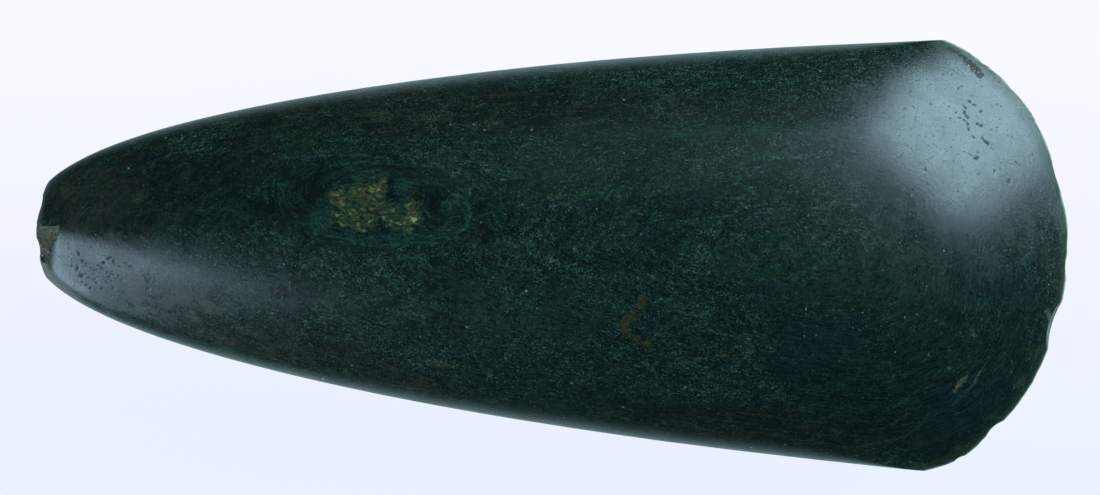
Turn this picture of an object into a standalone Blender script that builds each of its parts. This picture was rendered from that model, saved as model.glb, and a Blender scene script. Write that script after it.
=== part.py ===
# A polished greenstone celt, the blade of an axe, lying on its underside.
# It is one solid stone: a narrow blunt poll at -X, a flared curved cutting edge at +X.
# Metres, +Z up, with the origin at the bottom centre of the stone's box.

import math

import bmesh
import bpy
from mathutils import Matrix, Vector

MM = 0.001

# Driving dimensions of the whole stone
LENGTH = 146.0 * MM
BLADE_WIDTH = 61.2 * MM  # between the two corners of the cutting edge
THICKNESS = 29.0 * MM  # at the thickest place, before the flat spot is ground
REST_FLAT_DEPTH = 0.35 * MM  # ground off the belly, so that the stone lies still

# The outline seen from above
BLADE_BOW = 26.4 * MM  # half axis, along the stone, of the ellipse that the edge follows
BLADE_SPAN = 1.04  # the ellipse's other half axis over half the blade's width
BLADE_SHIFT = 0.25 * MM  # the edge's foremost place lies a little to +Y
SIDE_POWER = 0.383  # the sides widen with this power of the distance from the poll
SIDE_FULLNESS = 0.031  # and are this much fuller at mid length
SIDE_LEAD = 1.0 * MM  # the two side curves would meet this far ahead of the poll
POLL_ROUNDING = 1.7 * MM  # length over which the blunt end rounds over, seen from above

# The profile seen from the side
POLL_THICKNESS = 11.0 * MM  # close behind the rounded end
CROWN_ROUNDING = 4.5 * MM  # length over which the blunt end rounds over, seen from the side
BELLY_AT = 0.62  # thickest place of the sides' swell, as a share of the length
SWELL_POWER = 2.0
BEVEL_LENGTH = 66.0 * MM  # over which the faces curve down to the cutting edge
BEVEL_POWER = 2.4
BEVEL_HEIGHT = 1.12  # the bevel's own height over half the thickness
BEVEL_BLEND = 5.0  # the higher, the crisper the meeting of bevel and sides
EDGE_RADIUS = 0.25 * MM  # the cutting edge is worn to this radius

# The cross section, from a soft roof at the poll to an oval at mid length
POLL_ROOF = 1.5  # the power that shapes the section at the poll
BODY_ROUND = 2.2  # and the power that shapes it from ROOF_LENGTH on
ROOF_LENGTH = 55.0 * MM
ROOF_FADE = 2.0  # how fast the roof fades along that length

# How finely the faces are divided
STATIONS = 60  # along the stone
FACE_STRIPS = 28  # across one face, and as many across the other
STATION_BOW = 4.0  # how late the cross lines begin to follow the cutting edge
CHIP_SEGMENTS = 20
CHIP_RINGS = 12
SLOPE_STEP = 0.01 * MM  # over which the rim's direction is measured
WELD_DISTANCE = 0.002 * MM  # closer points are one

# Where hand grinding left the cutting edge fuller than its ellipse: the place and spread of
# each swell are shares of half the blade's width, + to +Y.
EDGE_SWELLS = {
    "tip": {"across": 0.13, "spread": 0.070, "height": 0.12 * MM},
    "upper_shoulder": {"across": 0.71, "spread": 0.065, "height": 0.30 * MM},
    "lower_corner": {"across": -0.95, "spread": 0.060, "height": 0.85 * MM},
}

# Chips in the stone's rim. "across" is the place along the cutting edge, or along the
# poll's end, as a share of half the blade's width, + to +Y. "lift" puts a chip's middle
# above the rim, so that its scar shows on top, and "height" is half its own height.
CHIPS = {
    "upper_flat": {
        "end": "blade", "across": 0.398, "width": 5.8 * MM, "bite": 0.52 * MM,
        "lift": -1.1 * MM, "height": 3.0 * MM,
    },
    "middle_nick": {
        "end": "blade", "across": -0.024, "width": 3.4 * MM, "bite": 0.40 * MM,
        "lift": -0.6 * MM, "height": 3.0 * MM,
    },
    "lower_scallop": {
        "end": "blade", "across": -0.308, "width": 7.4 * MM, "bite": 0.92 * MM,
        "lift": 1.3 * MM, "height": 3.0 * MM,
    },
    "lower_notch": {
        "end": "blade", "across": -0.796, "width": 3.6 * MM, "bite": 0.62 * MM,
        "lift": 0.9 * MM, "height": 3.0 * MM,
    },
    "corner_notch": {
        "end": "blade", "across": -0.935, "width": 2.4 * MM, "bite": 0.28 * MM,
        "lift": 0.7 * MM, "height": 3.0 * MM,
    },
    "poll_upper_nick": {
        "end": "poll", "across": 0.142, "width": 4.0 * MM, "bite": 0.34 * MM,
        "lift": 1.0 * MM, "height": 9.0 * MM,
    },
    "poll_lower_nick": {
        "end": "poll", "across": -0.082, "width": 4.0 * MM, "bite": 0.46 * MM,
        "lift": 1.0 * MM, "height": 9.0 * MM,
    },
}
CHIP_REACH = 3.2 * MM  # how far a chip's ellipsoid reaches in its own outward direction

# The broken place at the poll's tip
BREAK_LENGTH = 2.9 * MM  # along the stone, from the tip
BREAK_WIDTH = 5.2 * MM
BREAK_TOP = 0.35 * MM  # the break's straight upper border lies this far to +Y
BREAK_SLOPE = math.radians(58)
BREAK_BLOCK = 12.0 * MM  # size of the block that cuts it
POCKET_SIZE = 1.3 * MM

REST_BLOCK_MARGIN = 10.0 * MM
STONE_COLOUR = (0.007, 0.022, 0.020, 1.0)
STONE_ROUGHNESS = 0.24


def blade_line(y):
    """X of the cutting edge at a distance y from the stone's middle line."""
    half = BLADE_WIDTH / 2
    share = min(abs(y - BLADE_SHIFT) / (BLADE_SPAN * half), 1.0)
    swells = sum(
        swell["height"] * math.exp(-(((y / half - swell["across"]) / swell["spread"]) ** 2) / 2)
        for swell in EDGE_SWELLS.values()
    )
    return LENGTH - BLADE_BOW * (1 - math.sqrt(1 - share * share)) + swells


def corner_station():
    """X of the blade's corners, were the edge not shifted to one side."""
    return LENGTH - BLADE_BOW * (1 - math.sqrt(1 - 1 / BLADE_SPAN**2))


def rounding(x, length):
    """0 at the poll's tip and 1 from where its rounded end is over."""
    left = max(1 - x / length, 0.0)
    return math.sqrt(1 - left * left)


def half_width(x):
    share = (x + SIDE_LEAD) / (corner_station() + SIDE_LEAD)
    swell = 1 + SIDE_FULLNESS * math.sin(math.pi * share)
    return BLADE_WIDTH / 2 * share**SIDE_POWER * swell * rounding(x, POLL_ROUNDING)


def blade_distance(x, y):
    """Distance from the cutting edge, measured square to it."""
    rise = blade_line(y + SLOPE_STEP) - blade_line(y - SLOPE_STEP)
    slope = rise / (2 * SLOPE_STEP)
    return max(blade_line(y) - x, 0.0) / math.hypot(1, slope)


def face_height(x, y, across):
    """Height of a face over the stone's middle plane, before it is scaled to THICKNESS.

    across is the place in the cross line, from -1 on one side to 1 on the other.
    """
    swell = 1 - max(1 - x / (BELLY_AT * LENGTH), 0.0) ** SWELL_POWER
    poll = POLL_THICKNESS / 2
    crown = (poll + (THICKNESS / 2 - poll) * swell) * rounding(x, CROWN_ROUNDING)
    roof = max(1 - x / ROOF_LENGTH, 0.0) ** ROOF_FADE
    roundness = BODY_ROUND + (POLL_ROOF - BODY_ROUND) * roof
    sides = crown * math.sqrt(max(1 - abs(across) ** roundness, 0.0))

    distance = blade_distance(x, y)
    fall = 1 - max(1 - distance / BEVEL_LENGTH, 0.0) ** BEVEL_POWER
    bevel = math.hypot(BEVEL_HEIGHT * THICKNESS / 2 * fall, math.sqrt(2 * EDGE_RADIUS * distance))
    if sides <= 0 or bevel <= 0:
        return 0.0
    return (sides**-BEVEL_BLEND + bevel**-BEVEL_BLEND) ** (-1 / BEVEL_BLEND)


def stone_point(along, around):
    """A point of the skin. along runs 0 to 1 from poll to blade, around once about the stone."""
    angle = 2 * math.pi * around
    across = math.cos(angle)
    station = (1 - math.cos(math.pi * along)) / 2
    corner = corner_station()
    y = across * half_width(station * corner)
    bow = blade_line(across * BLADE_WIDTH / 2) - corner
    x = station * corner + station**STATION_BOW * bow
    side = math.copysign(1.0, math.sin(angle))
    return Vector((x, y, side * face_height(x, y, across)))


def stone_body():
    """The unbroken stone: a grid rolled into a tube that closes on the poll and the edge."""
    shape = bmesh.new()
    around = 2 * FACE_STRIPS
    bmesh.ops.create_grid(shape, x_segments=STATIONS, y_segments=around, size=0.5)
    for vert in shape.verts:
        along = round((vert.co.x + 0.5) * STATIONS) / STATIONS
        turn = round((vert.co.y + 0.5) * around) / around
        vert.co = stone_point(along, turn)
    bmesh.ops.remove_doubles(shape, verts=shape.verts, dist=WELD_DISTANCE)
    bmesh.ops.dissolve_degenerate(shape, edges=shape.edges, dist=WELD_DISTANCE)
    highest = max(vert.co.z for vert in shape.verts)
    for vert in shape.verts:
        vert.co.z *= THICKNESS / 2 / highest
    bmesh.ops.recalc_face_normals(shape, faces=shape.faces)
    return shape


def mesh_object(name, shape, collection):
    mesh = bpy.data.meshes.new(name)
    shape.to_mesh(mesh)
    shape.free()
    thing = bpy.data.objects.new(name, mesh)
    collection.objects.link(thing)
    return thing


def ellipsoid(name, radii, place, collection):
    """A cutter with its three radii along the axes of the placing matrix."""
    shape = bmesh.new()
    bmesh.ops.create_uvsphere(
        shape, u_segments=CHIP_SEGMENTS, v_segments=CHIP_RINGS, radius=1.0
    )
    bmesh.ops.transform(shape, matrix=place @ Matrix.Diagonal((*radii, 1)), verts=shape.verts)
    return mesh_object(name, shape, collection)


def block(name, size, place, collection):
    shape = bmesh.new()
    bmesh.ops.create_cube(shape, size=1.0)
    bmesh.ops.transform(shape, matrix=place @ Matrix.Diagonal((*size, 1)), verts=shape.verts)
    return mesh_object(name, shape, collection)


def poll_line(y):
    """X of the poll's rounded end at a distance y from the middle line, by halving."""
    near, far = 0.0, LENGTH / 2
    while far - near > SLOPE_STEP / 100:
        middle = (near + far) / 2
        if half_width(middle) < abs(y):
            near = middle
        else:
            far = middle
    return near


def rim_chip(name, chip, collection):
    """An ellipsoid that bites into the rim to the chip's width and depth."""
    line = {"blade": blade_line, "poll": poll_line}[chip["end"]]
    y = chip["across"] * BLADE_WIDTH / 2
    rise = line(y + SLOPE_STEP) - line(y - SLOPE_STEP)
    along_rim = Vector((rise, 2 * SLOPE_STEP, 0)).normalized()
    outward = Vector((along_rim.y, -along_rim.x, 0))
    if chip["end"] == "poll":
        outward = -outward
    upward = outward.cross(along_rim)
    level = math.sqrt(1 - (chip["lift"] / chip["height"]) ** 2)
    reach = CHIP_REACH * level
    chord = math.sqrt(1 - (1 - chip["bite"] / reach) ** 2)
    radii = (CHIP_REACH, chip["width"] / 2 / (level * chord), chip["height"])
    middle = Vector((line(y), y, chip["lift"])) + outward * (reach - chip["bite"])
    turn = Matrix((outward, along_rim, upward)).transposed().to_4x4()
    return ellipsoid(f"chip_{name}", radii, Matrix.Translation(middle) @ turn, collection)


def poll_break(collection):
    """A slanted block that takes the upper part of the tip away on the -Y side."""
    top = POLL_THICKNESS / 2
    turn = Matrix.Rotation(-BREAK_SLOPE, 4, "Y")
    corner = Vector((BREAK_LENGTH, BREAK_TOP, top))
    inside = Vector((-BREAK_BLOCK / 2, -BREAK_WIDTH / 2, BREAK_BLOCK / 2))
    place = Matrix.Translation(corner) @ turn @ Matrix.Translation(inside)
    return block("poll_break", (BREAK_BLOCK, BREAK_WIDTH, BREAK_BLOCK), place, collection)


def poll_pocket(collection):
    """A small hollow at the break's lower end."""
    middle = Vector((POCKET_SIZE, BREAK_TOP - BREAK_WIDTH + POCKET_SIZE / 2, POLL_THICKNESS / 4))
    radii = (POCKET_SIZE, POCKET_SIZE, 2 * POCKET_SIZE)
    return ellipsoid("poll_pocket", radii, Matrix.Translation(middle), collection)


def rest_flat(collection):
    """The block that grinds the belly flat under the stone's weight."""
    level = REST_FLAT_DEPTH - THICKNESS / 2
    size = (LENGTH + REST_BLOCK_MARGIN, BLADE_WIDTH + REST_BLOCK_MARGIN, REST_BLOCK_MARGIN)
    middle = Vector((LENGTH / 2, 0, level - REST_BLOCK_MARGIN / 2))
    return block("rest_flat", size, Matrix.Translation(middle), collection)


def stone_material():
    material = bpy.data.materials.new("polished_greenstone")
    material.use_nodes = True
    shader = material.node_tree.nodes["Principled BSDF"]
    shader.inputs["Base Color"].default_value = STONE_COLOUR
    shader.inputs["Roughness"].default_value = STONE_ROUGHNESS
    shader.inputs["Metallic"].default_value = 0.0
    material.diffuse_color = STONE_COLOUR
    return material


def cut(thing, cutter):
    cutter.hide_render = True
    cutter.display_type = "WIRE"
    modifier = thing.modifiers.new(cutter.name, "BOOLEAN")
    modifier.operation = "DIFFERENCE"
    modifier.solver = "EXACT"
    modifier.object = cutter


def main():
    for thing in list(bpy.data.objects):
        bpy.data.objects.remove(thing)
    parts = bpy.data.collections.new("greenstone_celt")
    cutters = bpy.data.collections.new("celt_cutters")
    bpy.context.scene.collection.children.link(parts)
    bpy.context.scene.collection.children.link(cutters)

    celt = mesh_object("celt", stone_body(), parts)
    celt.data.materials.append(stone_material())
    celt.data.shade_smooth()

    tools = [rim_chip(name, chip, cutters) for name, chip in CHIPS.items()]
    tools += [poll_break(cutters), poll_pocket(cutters), rest_flat(cutters)]
    for tool in tools:
        cut(celt, tool)

    # Everything is made with the tip of the poll at X = 0 and moves to the stone's own frame.
    to_frame = Vector((-LENGTH / 2, 0, THICKNESS / 2 - REST_FLAT_DEPTH))
    for thing in [celt, *tools]:
        thing.data.transform(Matrix.Translation(to_frame))


main()
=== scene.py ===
# The finish of a polished greenstone celt that lies on its underside on a light table.
# Places on the stone are in millimetres: x from the tip of the poll towards the cutting edge,
# y from the middle line, as the picture shows them. Lights and the table are in metres.

import math

import bmesh
import bpy
import numpy as np
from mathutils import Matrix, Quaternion, Vector, noise


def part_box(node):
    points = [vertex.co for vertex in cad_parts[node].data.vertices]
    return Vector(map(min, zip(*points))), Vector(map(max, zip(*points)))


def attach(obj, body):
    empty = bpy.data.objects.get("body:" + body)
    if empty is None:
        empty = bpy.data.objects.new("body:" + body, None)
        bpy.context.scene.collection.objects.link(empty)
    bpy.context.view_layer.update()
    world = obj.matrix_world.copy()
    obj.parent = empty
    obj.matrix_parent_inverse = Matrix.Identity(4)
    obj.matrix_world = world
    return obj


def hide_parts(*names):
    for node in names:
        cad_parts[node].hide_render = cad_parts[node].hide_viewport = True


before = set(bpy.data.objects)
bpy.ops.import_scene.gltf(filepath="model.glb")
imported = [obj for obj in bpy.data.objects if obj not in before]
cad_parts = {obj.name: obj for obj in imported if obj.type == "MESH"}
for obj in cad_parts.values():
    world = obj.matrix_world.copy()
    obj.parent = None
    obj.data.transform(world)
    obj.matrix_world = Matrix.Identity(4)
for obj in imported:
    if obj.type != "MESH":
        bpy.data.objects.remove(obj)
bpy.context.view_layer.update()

celtLow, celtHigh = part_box("celt")
mm = 0.001

# The stone's form, the same as the solid's
stone = {
    "length": -2 * celtLow.x / mm,
    "width": (celtHigh.y - celtLow.y) / mm,
    "restFlat": 0.35,  # ground off the belly
    "bladeBow": 26.4,  # half axis of the ellipse that the cutting edge follows
    "bladeSpan": 1.04,  # its other half axis, as a share of half the width
    "bladeShift": 0.25,
    "sidePower": 0.383,
    "sideFullness": 0.031,
    "sideLead": 1.0,
    "pollRounding": 1.7,
    "pollThickness": 11.0,
    "crownRounding": 4.5,
    "bellyAt": 0.62,  # where it is thickest, as a share of the length
    "swellPower": 2.0,
    "bevelLength": 66.0,
    "bevelPower": 2.4,
    "bevelHeight": 1.12,
    "bevelBlend": 5.0,
    "edgeRadius": 0.25,
    "pollRoof": 1.5,  # how round the section is at the poll
    "bodyRound": 2.2,  # and how round farther on
    "roofLength": 55.0,
    "roofFade": 2.0,
    # Where the cutting edge swells: place and spread as shares of half the width, height
    "edgeSwells": [
        (0.13, 0.070, 0.12), (0.71, 0.065, 0.30), (-0.95, 0.060, 0.85), (0.60, 0.14, 0.28),
        (-0.66, 0.13, 0.28), (0.84, 0.035, 0.22), (0.96, 0.05, 0.28), (0.14, 0.12, 0.18),
        (-0.13, 0.06, 0.10), (-0.93, 0.05, 0.32),
    ],
    "swellFade": 2.5,
}
stone["thickness"] = (celtHigh.z - celtLow.z) / mm + stone["restFlat"]
tiny = 1e-6
farAway = 99.0
slopeStep = 0.01

# The picture's camera looks straight down and is near, so high places look further out
view = {
    "turn": math.radians(1.705),  # the stone lies a little askew in the picture
    "over": (-0.24, -0.48),  # millimetres from the stone's middle
    "pixel": 146.0 / 1030,
    "width": 1100,
    "lens": 100,
    "sensor": 36,
}
view["distance"] = view["width"] * view["pixel"] * view["lens"] / view["sensor"]


def seenPlace(x, y, z):
    # Where the picture shows a place that lies z above the stone's middle plane
    reach = 1 / (1 - z / view["distance"])
    midX, midY = stone["length"] / 2 + view["over"][0], view["over"][1]
    return midX + (x - midX) * reach, midY + (y - midY) * reach


def evenLine(y):
    share = abs(y - stone["bladeShift"]) / (stone["bladeSpan"] * stone["width"] / 2)
    return stone["length"] - stone["bladeBow"] * (1 - np.sqrt(1 - np.minimum(share, 1) ** 2))


def bladeSwell(y):
    half = stone["width"] / 2
    return sum(height * np.exp(-(((y / half - across) / spread) ** 2) / 2)
               for across, spread, height in stone["edgeSwells"])


def bladeLine(y):
    return evenLine(y) + bladeSwell(y)


def rounding(x, length):
    left = np.maximum(1 - x / length, 0)
    return np.sqrt(np.maximum(1 - left * left, 0))


cornerX = stone["length"] - stone["bladeBow"] * (1 - math.sqrt(1 - stone["bladeSpan"] ** -2))


def halfWidth(x):
    share = np.maximum((x + stone["sideLead"]) / (cornerX + stone["sideLead"]), 0)
    swell = 1 + stone["sideFullness"] * np.sin(math.pi * share)
    power = share ** stone["sidePower"]
    return stone["width"] / 2 * power * swell * rounding(x, stone["pollRounding"])


def bladeDistance(x, y):
    slope = (evenLine(y + slopeStep) - evenLine(y - slopeStep)) / (2 * slopeStep)
    inward = evenLine(y) - x
    swell = bladeSwell(y) * np.exp(-np.maximum(inward, 0) / stone["swellFade"])
    return np.maximum(inward + swell, 0) / np.hypot(1, slope)


def faceHeight(x, y, across):
    swell = 1 - np.maximum(1 - x / (stone["bellyAt"] * stone["length"]), 0) ** stone["swellPower"]
    poll = stone["pollThickness"] / 2
    crown = (poll + (stone["thickness"] / 2 - poll) * swell) * rounding(x, stone["crownRounding"])
    roof = np.maximum(1 - x / stone["roofLength"], 0) ** stone["roofFade"]
    roundness = stone["bodyRound"] + (stone["pollRoof"] - stone["bodyRound"]) * roof
    sides = crown * np.sqrt(np.maximum(1 - abs(across) ** roundness, 0))
    distance = bladeDistance(x, y)
    fall = 1 - np.maximum(1 - distance / stone["bevelLength"], 0) ** stone["bevelPower"]
    rise = stone["bevelHeight"] * stone["thickness"] / 2 * fall
    bevel = np.hypot(rise, np.sqrt(2 * stone["edgeRadius"] * distance))
    blend = stone["bevelBlend"]
    whole = np.maximum(sides, tiny) ** -blend + np.maximum(bevel, tiny) ** -blend
    return np.where((sides > 0) & (bevel > 0), whole ** (-1 / blend), 0)


# A lobe is an ellipse: its middle, its half length and half width, its turn in degrees.
# How finely the skin is divided. Each level of a zone halves the faces once more.
skin = {
    "stations": 132,
    "strips": 51,  # over one face, and as many under it
    "endCrowding": 0.06,
    "stationBow": 4.0,
    "weld": 0.002,
    # First level, on both faces alike: beside the sides, the cutting edge and the poll
    "sideZone": 3.0,
    "bladeZone": 6.0,
    "pollZone": 7.0,
    # Second level
    "bladeBand": 3.0,
    "pollBand": 5.0,
    "nearWisp": 0.6,
    "nearMark": 0.8,
    "fineLobes": [(48, 4.4, 8.4, 5.2, 0), (10.5, -6.2, 5.6, 3, -8)],
    # Third level
    "chipBand": 1.9,
    "chipShare": 0.6,  # of the chip's width
    "breakBand": (0.5, -2.4, 3.4),  # past the break's length, middle and half width across
    "nearCrack": 0.7,
    "onMark": 0.45,
    "finestLobes": [(132.6, 17, 3, 7.6, 0), (137, 12, 2.4, 2.2, 0)],
}


def planPlace(along, turn):
    # Where a point of the flat sheet lies in plan. along and turn both run from 0 to 1.
    across = np.cos(2 * math.pi * turn)
    near = along * along / (along + skin["endCrowding"])
    far = (1 - along) ** 2 / (1 - along + skin["endCrowding"])
    station = near / (near + far)
    y = across * halfWidth(station * cornerX)
    bow = bladeLine(across * stone["width"] / 2) - cornerX
    x = station * cornerX + station ** skin["stationBow"] * bow
    return x, y, across


def lobeDepth(x, y, lobes):
    # Millimetres inside the nearest of some lobes, and negative outside
    depth = np.full_like(x, -farAway)
    for midX, midY, halfX, halfY, turn in lobes:
        c, s = math.cos(math.radians(turn)), math.sin(math.radians(turn))
        u = ((x - midX) * c + (y - midY) * s) / halfX
        v = ((y - midY) * c - (x - midX) * s) / halfY
        depth = np.maximum(depth, (1 - np.hypot(u, v)) * min(halfX, halfY))
    return depth


def pathDistance(x, y, path):
    nearest = np.full_like(x, farAway)
    for (ax, ay), (bx, by) in zip(path, path[1:]):
        lengthSquare = (bx - ax) ** 2 + (by - ay) ** 2
        t = np.clip(((x - ax) * (bx - ax) + (y - ay) * (by - ay)) / lengthSquare, 0, 1)
        nearest = np.minimum(nearest, np.hypot(x - ax - t * (bx - ax), y - ay - t * (by - ay)))
    return nearest


def patchDepth(x, y, corners):
    # Millimetres inside a patch with straight borders, and negative outside
    inside = np.zeros(x.shape, bool)
    for (ax, ay), (bx, by) in zip(corners, corners[1:] + corners[:1]):
        crossing = ax + (y - ay) * (bx - ax) / ((by - ay) or tiny)
        inside ^= ((ay > y) != (by > y)) & (x < crossing)
    away = pathDistance(x, y, corners + corners[:1])
    return np.where(inside, away, -away)


def smoothStep(value, low, high):
    # From 0 at low to 1 at high, and the other way round if high is the smaller
    t = np.clip((value - low) / (high - low), 0, 1)
    return t * t * (3 - 2 * t)


# Chips in the rim, worn smooth: end, place across as a share of half the width, width, bite,
# lift that puts the scar on top, height
chips = [
    ("blade", 0.398, 5.8, 0.52, -1.1, 3.0), ("blade", -0.024, 3.4, 0.40, -0.6, 3.0),
    ("blade", -0.308, 7.4, 0.92, 1.3, 3.0), ("blade", -0.796, 3.4, 0.50, 0.9, 3.0),
    ("blade", 0.787, 2.4, 0.20, -0.4, 3.0), ("blade", 0.900, 1.6, 0.14, 0.4, 3.0),
    ("blade", -0.938, 1.8, 0.24, 0.7, 3.0), ("poll", 0.105, 4.2, 0.52, 1.0, 9.0),
    ("poll", -0.094, 3.4, 0.68, 1.0, 9.0),
]
chipReach = 3.2  # half the depth of the ball that cuts them
chipRipple = 0.02  # as a share of the reach
chipLeast = 0.02  # a shallower cut isn't painted

pollBreak = {
    "length": 3.80,
    "height": 6.27,  # where its right border meets the top
    "top": 0.42,  # y of its straight upper border
    "width": 5.6,
    "slope": math.tan(math.radians(51.5)),
    "dent": (-2.35, 1.0, 0.50),  # across, half width, depth
    "rough": 0.16,
    "roughLevel": 0.4,
    "pocket": (1.55, -4.2, 0.75, 1.15, 10),
    "pocketSoft": 0.5,
    "pocketDepth": 0.40,
}

# Small pits: lobes, each with its strength
pits = {
    "bladeScatter": [
        (130.25, 24.06, 0.6, 0.15, 22, 0.7), (130.82, 21.31, 0.42, 0.16, -45, 0.8),
        (131.6, 22, 0.42, 0.16, -40, 0.8), (132.3, 21.55, 0.45, 0.14, -12, 0.8),
        (133.25, 20.67, 0.28, 0.22, 60, 0.7), (134, 20.9, 0.18, 0.14, 0, 0.4),
        (130.95, 20.35, 0.42, 0.22, -60, 1), (131.35, 19.85, 0.36, 0.28, -50, 1),
        (130.35, 19.6, 0.42, 0.13, -25, 0.8), (130.85, 19.3, 0.34, 0.14, -35, 0.8),
        (131.4, 18.85, 0.4, 0.18, -70, 0.9), (131.6, 18.1, 0.34, 0.16, -80, 0.9),
        (132.75, 18.85, 0.26, 0.24, 0, 1), (133.35, 18.65, 0.28, 0.24, -20, 1),
        (134.35, 19.1, 0.2, 0.16, 0, 0.5), (135.6, 18.5, 0.22, 0.16, 30, 0.5),
        (135.5, 17.95, 0.2, 0.14, 60, 0.4), (132.23, 17.03, 0.42, 0.14, -50, 0.8),
        (133.7, 16.75, 0.4, 0.2, -45, 0.8), (134.25, 16.2, 0.42, 0.28, -40, 1),
        (134.95, 15.4, 0.5, 0.16, -40, 0.5), (135.2, 22.86, 0.34, 0.2, -30, 0.4),
        (134.6, 23.3, 0.2, 0.15, 20, 0.3), (131.1, 14.8, 0.55, 0.08, -18, 0.7),
        (131.95, 14.45, 0.5, 0.09, -38, 0.8), (132.85, 14, 0.34, 0.32, 0, 1.2),
        (133.1, 14.95, 0.26, 0.1, 85, 0.6), (125.6, 12.1, 0.26, 0.15, 5, 1),
        (126.1, 13.2, 0.3, 0.12, -70, 0.6), (138.4, 13.65, 0.3, 0.13, -30, 0.9),
        (138.95, 13.25, 0.36, 0.1, -40, 0.6), (135.45, 12.25, 0.26, 0.12, 45, 0.8),
        (136.1, 14, 0.16, 0.12, 0, 0.5), (133.3, 11.8, 0.3, 0.1, 85, 0.6),
        (136.6, 11.45, 0.2, 0.14, 0, 0.8), (137.55, 10.9, 0.34, 0.2, 85, 1),
        (138.5, 10.5, 0.26, 0.18, 30, 0.3), (134.65, 8.5, 0.26, 0.12, 80, 0.7),
        (128, 18.3, 0.16, 0.12, 20, 0.6), (126.4, 17.2, 0.55, 0.06, 2, 0.4),
        (126.6, 23.4, 0.28, 0.14, -60, 0.4), (128.7, 22.9, 0.2, 0.13, 10, 0.3),
        (129.1, 26.6, 0.4, 0.07, -25, 0.4), (127, 15.9, 0.3, 0.06, 15, 0.3),
        (128.9, 11.8, 0.34, 0.07, -35, 0.3), (123.3, 21, 0.14, 0.11, 0, 0.4),
    ],
    "pollScatter": [
        (6, -3.3, 0.26, 0.18, 70, 0.9), (5.1, -5.1, 0.22, 0.16, 0, 0.7), (5.9, -5.3, 0.4, 0.22, 80, 0.9),
        (6.4, -6.5, 0.36, 0.32, 0, 1.1), (7.5, -6.7, 0.22, 0.14, 0, 0.6), (8.4, -6.9, 0.26, 0.18, 30, 0.7),
        (9.5, -4.6, 0.36, 0.22, 20, 0.7), (8.8, -4.9, 0.18, 0.14, 0, 0.6),
        (10.3, -3.9, 0.44, 0.24, 30, 0.6), (11, -4.4, 0.34, 0.26, 0, 0.6), (10.5, -6.5, 0.22, 0.16, 0, 0.7),
        (11.1, -6.2, 0.18, 0.14, 0, 0.6), (9.4, -8.1, 0.22, 0.14, 40, 0.7),
        (11.1, -8.1, 0.28, 0.18, -20, 0.8), (7.2, -7.8, 0.24, 0.16, 0, 0.8), (7.8, -8.2, 0.24, 0.2, 0, 0.8),
        (6.6, -7.4, 0.24, 0.18, 50, 0.7), (8.7, -7.4, 0.26, 0.18, -40, 0.8),
        (10.1, -7.3, 0.22, 0.16, 0, 0.7), (11.8, -5, 0.28, 0.2, 0, 0.5), (13.4, -5, 0.5, 0.26, 10, 0.5),
        (12.9, -4.5, 0.4, 0.22, -20, 0.5), (16.1, -6.8, 0.4, 0.12, 10, 0.7),
        (15.8, -7.1, 0.14, 0.24, 10, 0.7), (16, -8, 0.26, 0.28, 0, 0.9), (16.8, -7.1, 0.16, 0.12, 0, 0.5),
        (14.6, -6.9, 0.16, 0.12, 0, 0.4), (4.6, -3.8, 0.14, 0.12, 0, 0.5), (9, -6, 0.16, 0.12, 0, 0.5),
        (7.9, -5.6, 0.16, 0.12, 0, 0.5), (7, -5.9, 0.14, 0.12, 0, 0.4), (12.3, -7, 0.18, 0.12, 30, 0.4),
    ],
}
pitDepth = 0.020

# A ground-in scar beside the upper corner of the blade
bladeScar = {
    "parts": [
        (0.3, [(128.3, 29.5), (129.2, 29.15), (130.1, 28.7), (130.9, 27.9)]),
        (0.55, [(130.9, 27.9), (131.7, 27.3), (132.4, 26.5), (133, 25.8)]),
    ],
    "depth": 0.022,
    "dots": [(131.3, 27.1, 0.16, 0.14, 0), (132.15, 26.35, 0.14, 0.12, 0), (132.75, 26.15, 0.12, 0.12, 0)],
    "redDot": [(130.95, 27.85, 0.3, 0.22, -45)],
}

# Tan fissures in the lower half of the blade, and a pale crease below them: width, path
cracks = [
    (0.5, [(132.25, -17.3), (131.75, -17.8)]), (0.42, [(131.75, -17.8), (131.2, -18.4)]),
    (0.3, [(131.2, -18.4), (130.75, -19.2)]), (0.18, [(130.75, -19.2), (130.5, -20.2)]),
    (0.26, [(132.9, -10.4), (133.1, -10.8)]), (0.36, [(133.15, -11), (133.55, -11.4)]),
    (0.16, [(132.6, -13.3), (132.7, -15.2)]), (0.22, [(132.75, -15.6), (132.4, -16.8)]),
    (0.24, [(134.3, -16.2), (133.5, -17.9), (132.8, -18.6)]),
]
crackDepth = 0.03
crease = {
    "path": [
        (127.2, -22.4), (126.3, -23.8), (125.3, -24.8), (123.8, -25.8), (120.8, -26.7), (117.1, -27.5),
    ],
    "width": 0.26,
    "depth": 0.05,
}

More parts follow.
